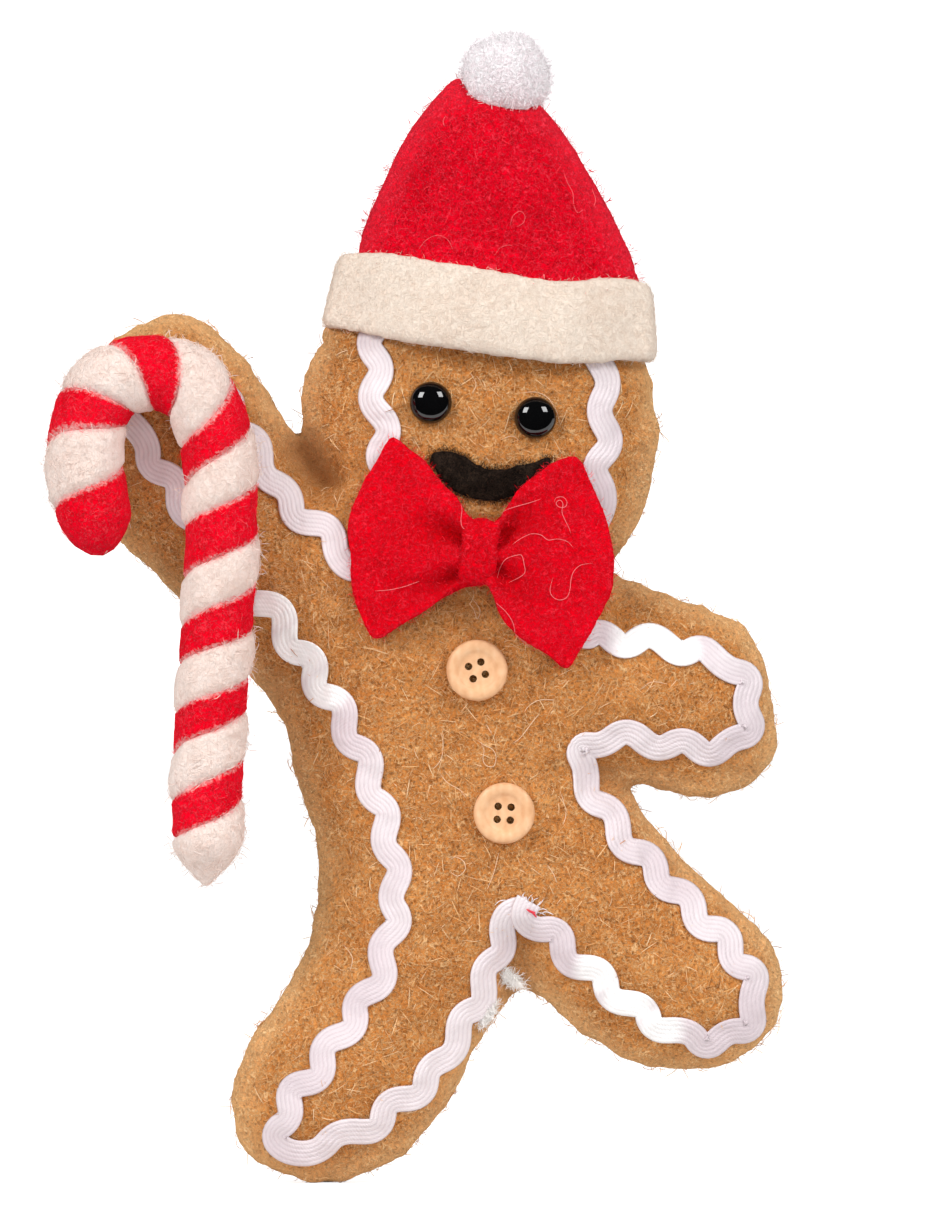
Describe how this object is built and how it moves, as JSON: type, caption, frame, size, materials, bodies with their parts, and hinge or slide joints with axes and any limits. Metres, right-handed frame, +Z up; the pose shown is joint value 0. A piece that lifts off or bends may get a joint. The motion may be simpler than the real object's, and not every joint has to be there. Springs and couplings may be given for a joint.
{
  "type": "gingerbread ornament",
  "caption": "Plush felt gingerbread figure with zigzag trim, bow, wooden buttons, glossy eyes, a brimmed hat with a pompom, and a striped candy cane over its raised arm.",
  "frame": {"origin": "the hanging point, at the top of the pompom, in the seam plane between the front and back felt", "axes": "+Z up through the hat, +X to the side of the lowered arm, -Y out of the face, as the figure hangs upright"},
  "size_m": [0.1462, 0.0446, 0.2298],
  "materials": {
    "brown_felt": "thick fuzzy wool felt with loose surface fibres",
    "stuffing": "loose polyester wadding",
    "hat_felt": "fuzzy red wool felt",
    "brim_felt": "fuzzy cream wool felt",
    "pompom_wool": "fluffy cut wool",
    "eye": "polished black dome",
    "mouth_wool": "needle-felted black wool",
    "button_wood": "pale turned wood, satin",
    "trim_braid": "fine ribbed woven braid, slight sheen",
    "bow_felt": "fuzzy deep red felt",
    "cane_white_wool": "fuzzy wound wool",
    "cane_red_wool": "fuzzy wound wool",
    "steel_wire": "bright drawn wire"
  },
  "bodies": {
    "root": {"front_felt": "brown_felt", "back_felt": "brown_felt", "torso_stuffing": "stuffing", "head_stuffing": "stuffing", "raised_arm_stuffing": "stuffing", "lowered_arm_stuffing": "stuffing", "left_leg_stuffing": "stuffing", "right_leg_stuffing": "stuffing", "hat_front_felt": "hat_felt", "hat_back_felt": "hat_felt", "hat_stuffing": "stuffing", "pompom": "pompom_wool", "hat_brim": "brim_felt", "left_eye": "eye", "right_eye": "eye", "mouth": "mouth_wool", "upper_button": "button_wood", "lower_button": "button_wood", "left_trim": "trim_braid", "right_trim": "trim_braid", "bow": "bow_felt", "bow_knot": "bow_felt", "cane_wool": "cane_white_wool", "cane_stripe": "cane_red_wool", "cane_wire": "steel_wire"}
  },
  "joints": []
}
